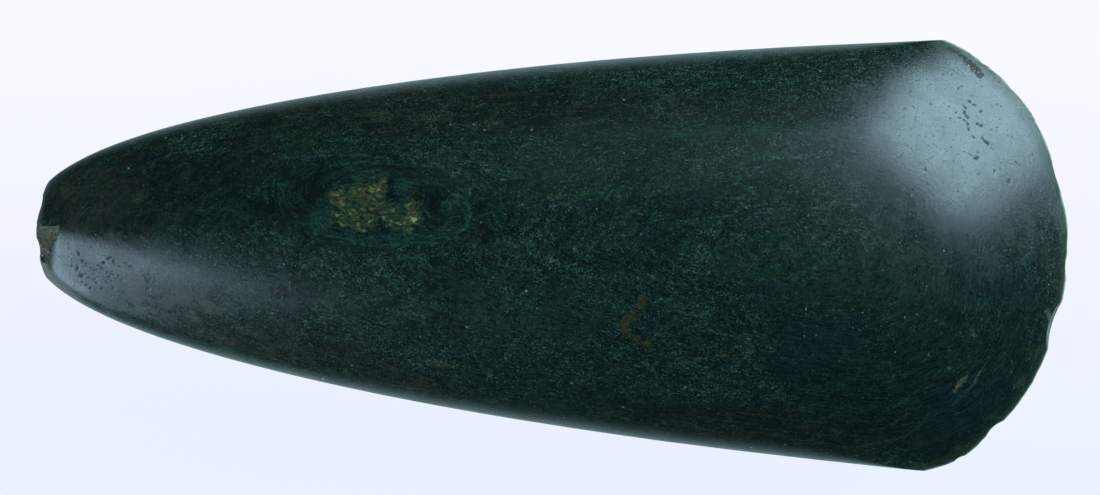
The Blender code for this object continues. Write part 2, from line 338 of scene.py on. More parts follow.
# White specks in the polish: lobes, each with its strength
specks = [
    (85.6, 1.81, 0.2, 0.14, 0, 1), (100.5, 6.09, 0.24, 0.12, 80, 0.9), (76.17, -0.6, 0.13, 0.12, 0, 0.7),
    (94.22, 7.74, 0.15, 0.1, 0, 0.3), (108.53, 22.42, 0.14, 0.1, 0, 0.7), (68.62, 5.42, 0.26, 0.11, 25, 1),
    (123.35, -8.83, 0.17, 0.15, 0, 0.9), (124.68, -10.64, 0.32, 0.08, 45, 0.6),
    (124.68, -10.64, 0.26, 0.08, -45, 0.5), (120.83, -9.62, 0.15, 0.13, 0, 0.6),
    (128.6, 0.68, 0.22, 0.12, 70, 0.9), (128.55, -2.44, 0.18, 0.12, 70, 0.8),
    (127.01, -3.05, 0.38, 0.07, 75, 0.6), (127.3, -3.3, 0.3, 0.06, 100, 0.5),
    (126.34, -4.35, 0.2, 0.1, 60, 0.7), (127.1, -4.7, 0.12, 0.09, 0, 0.4),
    (82.82, -14.44, 0.5, 0.06, 25, 0.5), (83.5, -14.1, 0.3, 0.07, 35, 0.5),
    (83.78, -22.77, 0.2, 0.1, 0, 0.8), (75.47, -24.58, 0.18, 0.12, 0, 0.5),
    (102.09, -28.04, 0.22, 0.09, 30, 0.7), (111.4, -28.7, 0.3, 0.07, 25, 0.5),
    (114.7, -28.5, 0.24, 0.07, 30, 0.4), (58.27, -4.39, 0.14, 0.1, 0, 0.4),
    (41.16, -20.07, 0.22, 0.09, -10, 0.8), (120.9, -14.7, 0.6, 0.05, 0, 0.3),
]


def zoneLevel(x, y, across, top):
    # How often the faces at a place are halved
    level = top.astype(int)

    def halve(where, times):
        np.maximum(level, where * times, out=level)

    fromBlade = bladeDistance(x, y)
    fromSide = halfWidth(np.minimum(x, cornerX)) - abs(y)
    halve((fromSide < skin["sideZone"]) | (x < skin["pollZone"]) | (fromBlade < skin["bladeZone"]), 1)
    halve((fromBlade < skin["bladeBand"]) | (x < skin["pollBand"]), 2)
    for end, share, width, *_ in chips:
        if end == "blade":
            near = abs(y - share * stone["width"] / 2) < width * skin["chipShare"]
            halve(near & (fromBlade < skin["chipBand"]), 3)
    past, middle, half = skin["breakBand"]
    halve(top & (x < pollBreak["length"] + past) & (abs(y - middle) < half), 3)

    x, y = seenPlace(x, y, faceHeight(x, y, across))
    halve(top & (lobeDepth(x, y, skin["fineLobes"]) > 0), 2)
    halve(top & (lobeDepth(x, y, skin["finestLobes"]) > 0), 3)
    for path in colourLines["wisp"] + colourLines["faintWisp"]:
        halve(top & (pathDistance(x, y, path) < skin["nearWisp"]), 2)
    for path in [path for _, path in cracks + bladeScar["parts"]] + [crease["path"]]:
        halve(top & (pathDistance(x, y, path) < skin["nearCrack"]), 3)
    for midX, midY, *_ in specks + pits["bladeScatter"] + pits["pollScatter"]:
        away = np.hypot(x - midX, y - midY)
        halve(top & (away < skin["nearMark"]), 2)
        halve(top & (away < skin["onMark"]), 3)
    return level


def flatSheet():
    shape = bmesh.new()
    around = 2 * skin["strips"]
    bmesh.ops.create_grid(shape, x_segments=skin["stations"], y_segments=around, size=0.5)
    for level in (1, 2, 3):
        faces = [face for face in shape.faces if len(face.verts) == 4]
        middles = np.array([face.calc_center_median() for face in faces]) + 0.5
        x, y, across = planPlace(middles[:, 0], middles[:, 1])
        wanted = zoneLevel(x, y, across, middles[:, 1] < 0.5) >= level
        edges = {edge for face, use in zip(faces, wanted) if use for edge in face.edges}
        bmesh.ops.subdivide_edges(shape, edges=list(edges), cuts=1, use_grid_fill=True)
    mesh = bpy.data.meshes.new("greenstoneCelt")
    shape.to_mesh(mesh)
    shape.free()
    return mesh


def readVectors(mesh, name):
    flat = np.empty(len(mesh.vertices) * 3, np.float32)
    mesh.vertices.foreach_get(name, flat)
    return flat.reshape(-1, 3).astype(float)


def writePlaces(mesh, places):
    mesh.vertices.foreach_set("co", places.astype(np.float32).ravel())
    mesh.update()


def wrapSheet(mesh):
    # Rolls the flat sheet into the stone, in millimetres about its middle plane
    sheet = readVectors(mesh, "co") + 0.5
    x, y, across = planPlace(sheet[:, 0], sheet[:, 1])
    z = faceHeight(x, y, across)
    z *= stone["thickness"] / 2 / z.max()
    z *= np.sign(np.round(np.sin(2 * math.pi * sheet[:, 1]), 6))
    writePlaces(mesh, np.stack([x, y, z], 1))
    shape = bmesh.new()
    shape.from_mesh(mesh)
    bmesh.ops.remove_doubles(shape, verts=shape.verts, dist=skin["weld"])
    bmesh.ops.dissolve_degenerate(shape, edges=shape.edges, dist=skin["weld"])
    bmesh.ops.recalc_face_normals(shape, faces=shape.faces)
    shape.to_mesh(mesh)
    shape.free()
    mesh.update()


def cloudField(places, size, seed, octaves):
    # Smooth random values from about -1 to 1, with features about size millimetres across
    shift = Vector((seed * 17.3, seed * 5.1, seed * 11.7))
    return np.array([
        noise.fractal(Vector(place) / size + shift, 1.0, 2.0, octaves) for place in places
    ])


def pollLineX(y):
    near, far = 0.0, stone["length"] / 2
    while far - near > slopeStep / 100:
        middle = (near + far) / 2
        near, far = (middle, far) if halfWidth(middle) < abs(y) else (near, middle)
    return near


def cutChip(places, chip, ripple):
    end, share, width, bite, lift, height = chip
    line = {"blade": bladeLine, "poll": pollLineX}[end]
    y = share * stone["width"] / 2
    rise = line(y + slopeStep) - line(y - slopeStep)
    alongRim = np.array([rise, 2 * slopeStep, 0])
    alongRim /= np.linalg.norm(alongRim)
    outward = np.array([alongRim[1], -alongRim[0], 0])
    if end == "poll":
        outward = -outward
    level = math.sqrt(1 - (lift / height) ** 2)
    reach = chipReach * level
    chord = math.sqrt(1 - (1 - bite / reach) ** 2)
    halfAlong = width / 2 / (level * chord)
    middle = np.array([line(y), y, lift]) + outward * (reach - bite)
    away = places - middle
    a, b, c = away @ outward, away @ alongRim, away[:, 2]
    wall = 1 - (b / halfAlong) ** 2 - (c / height) ** 2
    back = -chipReach * (1 + chipRipple * ripple) * np.sqrt(np.maximum(wall, 0))
    shift = np.where((wall > 0) & (a > back), back - a, 0)
    places += shift[:, None] * outward
    return shift < -chipLeast


def cutBreak(places, grit):
    # The slanted facet at the poll's tip, with its small pocket
    x, y, z = places.T
    down = pollBreak["top"] - y
    across, half, depth = pollBreak["dent"]
    run = x - pollBreak["length"] + depth * np.exp(-((y - across) / half) ** 2)
    roughness = pollBreak["rough"] * (pollBreak["roughLevel"] + grit)
    facet = pollBreak["height"] + run * pollBreak["slope"] - roughness
    hollow = smoothStep(lobeDepth(x, y, [pollBreak["pocket"]]), 0, pollBreak["pocketSoft"])
    facet = facet - pollBreak["pocketDepth"] * hollow
    inside = (z > facet) & (down > 0) & (down < pollBreak["width"]) & (z > 0)
    places[:, 2] = np.where(inside, np.maximum(facet, 0), z)
    border = np.minimum(np.maximum(down, 0), np.maximum(z - facet, 0))
    return inside.astype(float), hollow * inside, border


relief = {
    "undulation": 0.07,  # slow unevenness of hand grinding
    "undulationSize": 17.0,
    "ripple": 0.010,
    "rippleSize": 4.0,
    "bladeCalm": (0.0, 4.0),  # both fade out towards the cutting edge
    "pollCalm": (0.5, 5.0),  # and towards the poll
    "gritSize": 0.55,  # where the poll is broken
    "lumpSize": 1.6,
    "pollLumps": 0.27,
    "pollReach": (2.2, 0.4),
    "edgeWave": 0.12,
    "edgeWaveSize": 2.6,
    "edgeReach": (1.2, 0.0),
    "waveMiddle": (60.0, 0.9),  # the waves press towards here
    "lean": 0.25,  # added to the lumps and waves, so that most of them cut in
    "sharpAngle": 55,
    "layerTilt": 0.35,
}


def shapeStone():
    mesh = flatSheet()
    wrapSheet(mesh)
    places, normals = readVectors(mesh, "co"), readVectors(mesh, "normal")
    x, y = places[:, 0].copy(), places[:, 1].copy()
    top = places[:, 2] > 0
    fromBlade = bladeDistance(x, y)
    calm = smoothStep(fromBlade, *relief["bladeCalm"]) * smoothStep(x, *relief["pollCalm"])
    slow = cloudField(places, relief["undulationSize"], 1, 1)
    quick = cloudField(places, relief["rippleSize"], 2, 2)
    lower = relief["undulation"] * (0.5 + 0.5 * slow) + relief["ripple"] * (1 + quick)
    lower = np.maximum(lower, 0) * calm

    # Pits, scar, fissures and crease sit in the upper face
    fields = colourFields(x, y, places[:, 2], fromBlade)
    creased = smoothStep(fields["crease"], crease["width"], 0) * top
    for mark, depth in (
        (fields["pit"], pitDepth), (fields["scar"], bladeScar["depth"]), (fields["crack"], crackDepth),
        (creased, crease["depth"]),
    ):
        lower = lower + depth * mark

    # The poll's end is lumpy, and the cutting edge a little wavy
    grit = cloudField(places, relief["gritSize"], 3, 3)
    lumps = cloudField(places, relief["lumpSize"], 4, 2)
    lumpy = np.maximum(relief["lean"] + lumps, 0) * smoothStep(x, *relief["pollReach"])
    lower = lower + relief["pollLumps"] * lumpy
    places -= normals * lower[:, None]
    flat = np.zeros_like(y)
    wave = cloudField(np.stack([flat, y, flat], 1), relief["edgeWaveSize"], 5, 3)
    wave = np.maximum(relief["lean"] + wave, 0) * smoothStep(fromBlade, *relief["edgeReach"])
    middle, squeeze = relief["waveMiddle"]
    heading = np.stack([x - middle, squeeze * y, flat], 1)
    heading /= np.maximum(np.linalg.norm(heading, axis=1), tiny)[:, None]
    places -= relief["edgeWave"] * wave[:, None] * heading

    fields["chip"] = np.maximum.reduce([cutChip(places, chip, lumps) for chip in chips])
    fields["broken"], fields["hollow"], fields["breakEdge"] = cutBreak(places, grit)

    # Into the frame, with the flat spot ground off
    places[:, 0] -= stone["length"] / 2
    places[:, 2] = np.maximum(places[:, 2] + stone["thickness"] / 2 - stone["restFlat"], 0)
    places *= mm
    places = np.clip(places, np.array(celtLow), np.array(celtHigh))
    writePlaces(mesh, places)
    layers = np.stack([x + relief["layerTilt"] * places[:, 2] / mm, y, fields.pop("grain")], 1)
    layered = mesh.attributes.new("layers", "FLOAT_VECTOR", "POINT")
    layered.data.foreach_set("vector", layers.astype(np.float32).ravel())
    for name, values in fields.items():
        made = mesh.attributes.new(name, "FLOAT", "POINT")
        made.data.foreach_set("value", values.astype(np.float32))
    mesh.shade_smooth()
    mesh.set_sharp_from_angle(angle=math.radians(relief["sharpAngle"]))
    celt = bpy.data.objects.new("greenstoneCelt", mesh)
    bpy.context.scene.collection.objects.link(celt)
    count = sum(len(face.vertices) - 2 for face in mesh.polygons)
    print("stone skin:", len(mesh.vertices), "points,", count, "triangles")
    return celt


# Where the stone's colour changes, as lobes
colourLobes = {
    "inclusionBright": [
        (42.2, 3.1, 0.95, 0.32, 5), (44.6, 3.5, 0.8, 0.34, 0), (46.7, 3.4, 1.1, 0.6, 0),
        (42.9, 2.1, 0.45, 0.28, 0), (43.9, 1.7, 0.9, 0.3, -15), (46.1, 1, 1, 0.4, 0),
        (51.6, 1.9, 1.4, 0.6, -10), (53.4, 2.8, 0.75, 0.6, 0), (51.6, 3.3, 0.8, 0.3, 0),
        (47.5, 7.1, 0.9, 0.7, 0), (46.8, 5.3, 0.7, 0.4, 0),
    ],
    "inclusionCream": [(53.4, 2.9, 0.42, 0.36, 0), (42.4, 3.15, 0.55, 0.16, 8)],
    "inclusionTeal": [
        (46.3, 8.9, 3.1, 1.2, -4), (40.2, 2.6, 2.6, 2, 40), (52.6, 0.3, 5.6, 1, 4),
        (51.9, 7.6, 1.9, 1.3, -15), (46, 0.3, 4.5, 0.8, -12), (57.2, 0.9, 2.6, 0.9, 20),
        (58.2, 4.9, 0.9, 1.3, -20), (60.9, 3.6, 0.5, 2.2, 5),
    ],
    "inclusionDark": [
        (55.9, 6.2, 1.9, 2.3, 0), (59.8, 4, 0.9, 1.4, 0), (43.2, -1.2, 6, 0.8, -6), (38.5, 7, 3.2, 2.2, 15),
        (48.5, 1.3, 1.2, 0.5, -8), (52.3, 10, 2.8, 0.6, -8), (34, 3, 3, 1.8, 10),
    ],
    "hush": [(47, 5.2, 13.5, 6.6, 0), (36, 5.2, 7, 4, 10), (64.5, 3.5, 5, 4.2, 0)],
    "haze": [
        (13, 6, 11.5, 5.5, 16), (29, 10.5, 9, 3.6, 16), (60, 18.3, 34, 3.6, 3), (38, -16.2, 18, 2.6, -14),
        (15, -10.3, 5, 1.4, -20), (21.5, -9.2, 4, 1.6, -16), (12, -3.6, 2.6, 1.2, -15), (92, 20, 14, 2, 2),
        (131.5, -27.8, 3.6, 0.9, 30), (110, -25, 18, 2.6, -2),
    ],
    "greener": [
        (103, -1.5, 10, 4.5, 0), (118, -3, 12, 6, 0), (98, 16.6, 19, 1.3, 2), (70, -9, 14, 5, 0),
        (36, 13.5, 5, 2.2, 15), (75, 9, 9, 4, 0), (9.5, 7.5, 1.6, 4.5, -30),
    ],
    "vein": [(98, 16.6, 19, 1, 2), (76, 15.9, 6, 0.5, 4)],
    "spotted": [(8.8, -5.9, 3.6, 1.5, -12), (15.6, -6.6, 1.6, 1.2, 0), (6, -3.8, 0.8, 1.2, 0)],
    "bluer": [
        (111, -13.5, 8, 4.5, 20), (81, 19, 5, 1.6, 0), (93, 7, 4, 3, 0), (86, 1.6, 4, 2.2, 15),
        (59, -9.5, 5, 4, 0), (103.5, -7.5, 4.5, 3, 20), (89, -11, 3, 2.6, 0), (91, -18.5, 6, 2, 0),
        (16, 2.2, 8, 1.4, 8), (132, -22, 10, 5, 30), (138, -3, 7, 4, 0), (104, 3.5, 5, 3, 0),
    ],
    "calm": [
        (126, -14, 21, 15, 0), (130, 15, 14, 15, 0), (20, 4, 18, 6.5, 10), (90, -24.5, 45, 3.6, -3),
        (46, 5, 14, 7, 0),
    ],
    "ochre": [
        (51.2, -10.2, 0.8, 0.35, 15), (52.2, -9.5, 0.35, 0.6, -20), (54, -11.3, 0.8, 0.3, -30),
        (55, -11.9, 0.6, 0.4, 20), (60.2, -15.6, 2.8, 0.22, 2), (57.5, -17.4, 3, 0.6, -4),
        (69.7, 2.6, 0.35, 0.3, 0), (46.5, 17.7, 2.6, 0.35, 4), (55.6, 17.3, 1.6, 0.4, -10),
        (64.6, 16.7, 1.1, 0.35, -15), (60.5, 15.4, 1, 0.2, -6), (74.3, 17.8, 3, 0.2, 2),
        (89.4, 20.5, 1.6, 0.3, 5), (102.8, -13.3, 0.35, 0.3, 0), (21, 7.8, 0.5, 0.4, 0),
        (14.3, 4.9, 1.4, 0.8, 20), (15, 8.2, 0.4, 0.8, 10), (3.9, 5.3, 1.2, 0.7, -30),
        (137.2, -22.9, 0.5, 0.22, 40), (132.3, -27.7, 0.6, 0.2, 40), (33.2, -13, 0.6, 0.25, 0),
        (140.3, -17.6, 0.9, 0.4, 55), (142.3, -13.2, 0.4, 0.7, -20), (79.6, -19.8, 0.6, 0.3, 0),
        (91.6, -16.7, 1.8, 0.25, 10), (135.1, 23, 0.5, 0.4, 0),
    ],
    "rust": [
        (49, -9.9, 0.6, 0.3, 0), (27.6, -15.6, 0.6, 0.4, 0), (1.9, -4.6, 0.5, 0.4, 0),
        (24.4, -9.9, 1.4, 0.7, -20), (101.5, -15.3, 0.8, 0.3, 20), (144.5, -8.5, 0.3, 0.9, 0),
        (52.9, 6.1, 0.35, 0.25, 0), (48.7, 4.5, 0.5, 0.2, 0), (44, 5.4, 0.7, 0.25, 0),
    ],
    "rimTan": [
        (141.4, -13.8, 0.4, 0.7, -20), (139.6, -17.9, 0.4, 0.8, -35), (136, -22.8, 0.5, 0.22, 40),
        (131.2, -27.3, 0.7, 0.25, 35),
    ],
    "tip": [(6, 4, 6.5, 4.5, 20)],
    # Where the painted light along the rim is dimmer
    "dimRimLight": [(138, -20, 13, 15, 0)],
    "worn": [(11, 5, 11, 6, 15), (14, -9, 9, 2.8, -22), (26, 9, 9, 3.6, 18)],
    "smudge": [
        (12, -4, 2.6, 0.9, -15), (14.2, -6.6, 1.6, 1.6, 0), (21, -9.2, 3.4, 1, -16),
        (16.5, -11.2, 3, 0.7, -24), (24.4, -10.4, 2.2, 1, -15), (9.6, -9, 2.2, 0.6, -28),
        (28, -15.2, 2, 0.6, -20), (7.4, -6.9, 1.8, 0.9, -40),
    ],
}
# A patch: its corners
colourPatches = {
    "inclusion": [
        (41.1, 6.7), (42.9, 7.3), (44.7, 7.5), (45.7, 8), (47, 8.3), (49.2, 8.6), (49.7, 7.5), (49.6, 6.3),
        (50, 5.3), (51.5, 5.1), (53.1, 6), (53.8, 5.2), (54.5, 3.6), (54.6, 2.5), (53.7, 1.1), (51.9, 0.8),
        (50.5, 1.5), (49.4, 2), (48.3, 2.1), (47.2, 1.3), (46.3, 0.6), (44.9, 1.3), (43.2, 1.6), (42, 2.3),
        (41.2, 3), (42.2, 4.3), (41.1, 5.4),
    ],
    "inclusionBrown": [
        (45.7, 8), (49.2, 8.3), (49.6, 6.3), (49.3, 4.8), (48.3, 3.6), (46.6, 3.6), (44.9, 4.6),
        (41.9, 4.8), (41.3, 5.6), (43, 6.2), (44.9, 5.7), (46, 6.3),
    ],
    # A dark strip of painted shade beside the inclusion's right lobe
    "inclusionShade": [(49.3, 8.9), (50.4, 8.6), (50.4, 5.8), (49.7, 5.4)],
}
# Lines: the orange streak, wisps that swirl about the inclusion and lie in the blade, stains, and a pale
# painted highlight beside a chip
colourLines = {
    "streak": [
        [(85.6, -8.3), (86.3, -7.3)], [(85.3, -8.6), (86.2, -7.6)],
        [(84.9, -10), (84, -10.3), (83.5, -11.2)],
    ],
    "thinStreak": [[(83.4, -11.4), (83.5, -12), (84.7, -12.7), (86.1, -13.5), (87.6, -14.1)]],
    "wisp": [
        [(38.2, 0.5), (40.4, 0.5), (42.3, 0), (44.8, -0.3), (46.2, -0.8), (48.9, -1), (51.7, -0.6)],
        [(58.6, 6.7), (60.3, 6.2), (61.1, 5.1), (61.4, 3.8), (61.1, 2.4), (59.6, 1.2), (58.3, 0.4)],
    ],
    "faintWisp": [
        [(51.7, -0.6), (54.3, -0.3), (57.5, -0.5), (58.3, 0.4)],
        [(43.3, -3.8), (45.7, -4.3), (47.9, -3.5), (50.7, -3), (53.4, -2.4), (56.1, -2.3), (57.8, -1.6)],
        [(57.2, 3.9), (57.4, 5.3), (58.4, 5.7), (59.5, 5.4), (60.5, 4), (60.8, 3.2)],
        [(33.7, 11.3), (35.4, 11.2), (38.7, 11.5), (42, 11.7), (45.3, 11.9), (48.6, 11.6), (50.2, 10.9)],
        [(40.9, 10.2), (44.7, 10.8), (49.1, 10.8), (54.1, 10.4), (57.1, 10.5)],
        [(31.9, 6.9), (33.9, 7.3), (35.5, 7.1)], [(18.4, 0.6), (20.2, 0.5)], [(26.2, 3.6), (27.8, 3.4)],
        [(30.5, 0.4), (33.5, 0.3), (36, -0.4)], [(53, 5.6), (54.5, 5), (55.6, 3.2)],
    ],
    "bladeWisp": [
        [(130.4, -21.2), (132.2, -19.6), (133.6, -17.8), (134.6, -15.6)],
        [(122, -21.8), (125, -19.8), (127, -17.2)], [(118.4, -25.4), (122, -24.2), (124.4, -22.4)],
    ],
    "oliveThread": [
        [(90.1, -16.9), (92.6, -16.2), (95.4, -15.4), (98.6, -15), (102.1, -14.4)],
        [(83.6, -16.2), (86.7, -16.4), (88.3, -17.9)],
    ],
    # A pale painted highlight beside the chip in the lower cutting edge
    "chipHighlight": [[(143.4, -7.3), (143.9, -8.3), (144.2, -9.4)]],
    "chalk": [[(0.7, -5.3), (1.2, -6.3), (2, -7.3)], [(2, -7.3), (3.2, -8.5), (5.5, -10)]],
}
# How the layers swirl about the inclusion, and run along the blade and the middle ridge
swirl = {"middle": (49.0, 5.4), "half": (15.5, 6.3), "lift": 7.5}
grainRun = {"blade": 0.9, "blend": 3.0, "ridge": 4.0}
# The painted light at the rim fades with height from here on, and along the sides past the poll's end
rimRun = {"height": 0.5, "steep": 0.8, "end": 2.5, "fade": 0.2}
# Where a mark begins and is full, in half widths inward from its border
markBorder = {"pit": (-0.5, 0.7), "speck": (-0.4, 0.7)}
# The same for a stroke, in widths from its path. One thinner than full is fainter.
strokeBorder = {"outer": 1.4, "inner": 0.2, "full": 0.4}
unmarked = 9.0  # what the underside reads: far from every mark


def colourFields(trueX, trueY, z, fromBlade):
    top = z > 0
    x, y = seenPlace(trueX, trueY, z)
    fields = {name: lobeDepth(x, y, lobes) for name, lobes in colourLobes.items()}
    fields.update({name: patchDepth(x, y, corners) for name, corners in colourPatches.items()})
    fields["scarDot"] = lobeDepth(x, y, bladeScar["dots"])
    fields["scarRed"] = lobeDepth(x, y, bladeScar["redDot"])
    fields = {name: np.where(top, depth, -unmarked) for name, depth in fields.items()}
    for name, paths in dict(colourLines, crease=[crease["path"]]).items():
        away = np.minimum.reduce([pathDistance(x, y, path) for path in paths])
        fields[name] = np.where(top, away, unmarked)

    # The layers of the stone run along its rims and round the inclusion
    (midX, midY), (halfX, halfY) = swirl["middle"], swirl["half"]
    ring = np.where(top, np.hypot((x - midX) / halfX, (y - midY) / halfY), farAway)
    side = halfWidth(np.minimum(trueX, cornerX))
    flow = np.maximum(side - np.hypot(trueY, grainRun["ridge"]), -1)
    soft = grainRun["blend"]
    blade = fromBlade * grainRun["blade"]
    grain = -soft * np.log(np.exp(-flow / soft) + np.exp(-blade / soft))
    around = (y - midY) / np.maximum(ring, 1) ** 2
    fields["grain"] = grain + around + swirl["lift"] * np.maximum(1 - ring, 0)
    fields["blade"] = fromBlade

    # The poll's end is steep, so its rim counts by height as well
    upright = np.maximum(abs(z) - rimRun["height"], 0) * rimRun["steep"]
    fromRim = side - abs(trueY) + upright + np.maximum(trueX - rimRun["end"], 0) * rimRun["fade"]
    fields["edge"] = np.minimum(fromBlade, fromRim)
    for name, marks in (("pit", pits["bladeScatter"] + pits["pollScatter"]), ("speck", specks)):
        fields[name] = np.maximum.reduce([
            strength * smoothStep(lobeDepth(x, y, [lobe]) / min(lobe[2:4]), *markBorder[name]) * top
            for *lobe, strength in marks
        ])
    for name, strokes in (("scar", bladeScar["parts"]), ("crack", cracks)):
        outer, inner, full = strokeBorder.values()
        fields[name] = np.maximum.reduce([
            smoothStep(pathDistance(x, y, path), outer * width, inner * width) * min(width / full, 1)
            for width, path in strokes
        ]) * top
    return fields


def addNode(tree, kind, inputs=None, **settings):
    made = tree.nodes.new("ShaderNode" + kind)
    for name, value in settings.items():
        setattr(made, name, value)
    for socket, value in (inputs or {}).items():
        if isinstance(value, bpy.types.NodeSocket):
            tree.links.new(value, made.inputs[socket])
        else:
            made.inputs[socket].default_value = value
    return made


def paint(red, green, blue):
    # A colour as a picture shows it, 0 to 255, into the light that a shader counts in
    def channel(value):
        value /= 255
        return value / 12.92 if value <= 0.04045 else ((value + 0.055) / 1.055) ** 2.4
    return (channel(red), channel(green), channel(blue), 1.0)


class Finish:
    # Short calls that lay node upon node in one material
    def __init__(self, name):
        self.material = bpy.data.materials.new(name)
        self.material.use_nodes = True
        self.tree = self.material.node_tree
        self.shader = self.tree.nodes["Principled BSDF"]

    def field(self, name, socket="Fac"):
        return addNode(self.tree, "Attribute", attribute_name=name).outputs[socket]

    def math(self, operation, first, second=0.0, third=0.0, clamp=False):
        inputs = {0: first, 1: second, 2: third}
        return addNode(self.tree, "Math", inputs, operation=operation, use_clamp=clamp).outputs[0]

    def times(self, *values):
        product = values[0]
        for value in values[1:]:
            product = self.math("MULTIPLY", product, value)
        return product

    def plus(self, *values):
        total = values[0]
        for value in values[1:]:
            total = self.math("ADD", total, value)
        return total

    def sway(self, value, amount):
        # A random value about zero, from one about a half
        return self.math("MULTIPLY_ADD", value, amount, -amount / 2)

    def less(self, value, amount):
        # 1 where the value is 0, and less by the amount where it is 1
        return self.math("MULTIPLY_ADD", value, -amount, 1.0)

    def step(self, value, low, high, bottom=0.0, top=1.0):
        inputs = {"Value": value, "From Min": low, "From Max": high, "To Min": bottom, "To Max": top}
        made = addNode(self.tree, "MapRange", inputs, interpolation_type="SMOOTHSTEP")
        return made.outputs["Result"]

    def area(self, name, wobble, low, high, bottom=0.0, top=1.0):
        # A marked place with a border that wobbles
        return self.step(self.plus(self.field(name), wobble), low, high, bottom, top)

    def mix(self, share, first, second):
        inputs = {0: share, 6: first, 7: second}
        return addNode(self.tree, "Mix", inputs, data_type="RGBA").outputs[2]

    def over(self, base, colour, *shares):
        # Lays a colour over the base, as thick as its shares multiplied
        return self.mix(self.times(*shares), base, colour)

    def stretch(self, where, sizes):
        factor = tuple(1 / size for size in sizes)
        return addNode(self.tree, "VectorMath", {0: where, 1: factor}, operation="MULTIPLY").outputs[0]

    def ramp(self, value, places, colours):
        made = addNode(self.tree, "ValToRGB", {0: value})
        elements = made.color_ramp.elements
        while len(elements) < len(places):
            elements.new(1.0)
        for element, place, colour in zip(elements, places, colours):
            element.position, element.color = place, colour
        return made.outputs[0]

    def sized(self, where, size):
        # Features of one size, or of a size for each axis
        if isinstance(size, tuple):
            where, size = self.stretch(where, size), 1.0
        return {"Vector": where, "Scale": 1 / size}

    def cloud(self, where, size, detail, roughness, warp=0.0):
        inputs = {"Detail": detail, "Roughness": roughness, "Distortion": warp}
        return addNode(self.tree, "TexNoise", {**self.sized(where, size), **inputs}).outputs[0]

    def bend(self, where, size, amount):
        # Moves places about, so that what is laid on them looks torn
        push = addNode(self.tree, "TexNoise", {**self.sized(where, size), "Detail": 2.0}).outputs[1]
        even = addNode(self.tree, "VectorMath", {0: push, 1: (0.5, 0.5, 0.5)}, operation="SUBTRACT")
        moved = {0: even.outputs[0], 1: (amount, amount, amount), 2: where}
        return addNode(self.tree, "VectorMath", moved, operation="MULTIPLY_ADD").outputs[0]

    def cells(self, where, size):
        # Distance to the middle of the nearest cell, and a random value for each cell
        made = addNode(self.tree, "TexVoronoi", self.sized(where, size))
        random = addNode(self.tree, "SeparateColor", {0: made.outputs["Color"]}).outputs[0]
        return made.outputs["Distance"], random


greenstone = {
    "deep": paint(5, 19, 18), "body": paint(12, 33, 31), "glint": paint(82, 112, 98),
    "paleGreen": paint(36, 68, 50), "paleBlue": paint(33, 63, 63), "green": paint(20, 60, 32),
    "blue": paint(13, 34, 45), "vein": paint(30, 70, 62), "fibre": paint(30, 62, 58),
    "umber": paint(16, 24, 20), "haze": paint(68, 66, 46), "teal": paint(34, 74, 62),
    "dark": paint(3, 15, 19), "wisp": paint(38, 80, 70),
    "lamina": [
        paint(8, 28, 26), paint(22, 56, 44), paint(42, 68, 42), paint(66, 72, 42), paint(92, 86, 50),
        paint(134, 144, 86),
    ],
    "brownLamina": [paint(22, 34, 26), paint(54, 48, 34), paint(90, 70, 48), paint(108, 98, 64)],
    "cream": paint(170, 180, 124), "orange": paint(76, 66, 22), "ochre": paint(88, 90, 60),
    # The pale grey-green on the next line is a painted highlight beside a chip
    "rust": paint(84, 64, 42), "tan": paint(112, 102, 74), "chipHighlight": paint(112, 122, 118),
    "chalk": paint(108, 114, 98), "crease": paint(44, 80, 64), "speck": paint(196, 212, 208),
    # On the next line, the green and the pale colour are painted light at the thin edge: light let through
    # it and a bright line it catches
    "edge": paint(60, 88, 50), "rim": paint(168, 186, 172), "rimTan": paint(76, 88, 72),
    "pollDark": paint(20, 23, 19), "pollBlue": paint(9, 24, 29), "pollOlive": paint(29, 38, 27),
    "pollTan": paint(66, 58, 44), "tip": paint(60, 58, 48), "scar": paint(62, 62, 46),
    "brokenDark": paint(20, 19, 12), "broken": paint(80, 75, 57), "brokenBrown": paint(118, 88, 46),
    # On the next line, the pale colour is painted light on the break's rim and crest
    "brokenEdgeLight": paint(116, 118, 92), "pocket": paint(26, 25, 14),
    "roughness": 0.27,
    "roughest": 0.85,
    "glossiest": 0.18,
    "refraction": 1.61,
    "reliefDepth": 0.013,
    "scratches": ((8, 0.0), (100, 3.0), (35, 7.0)),  # direction in degrees, shift
}


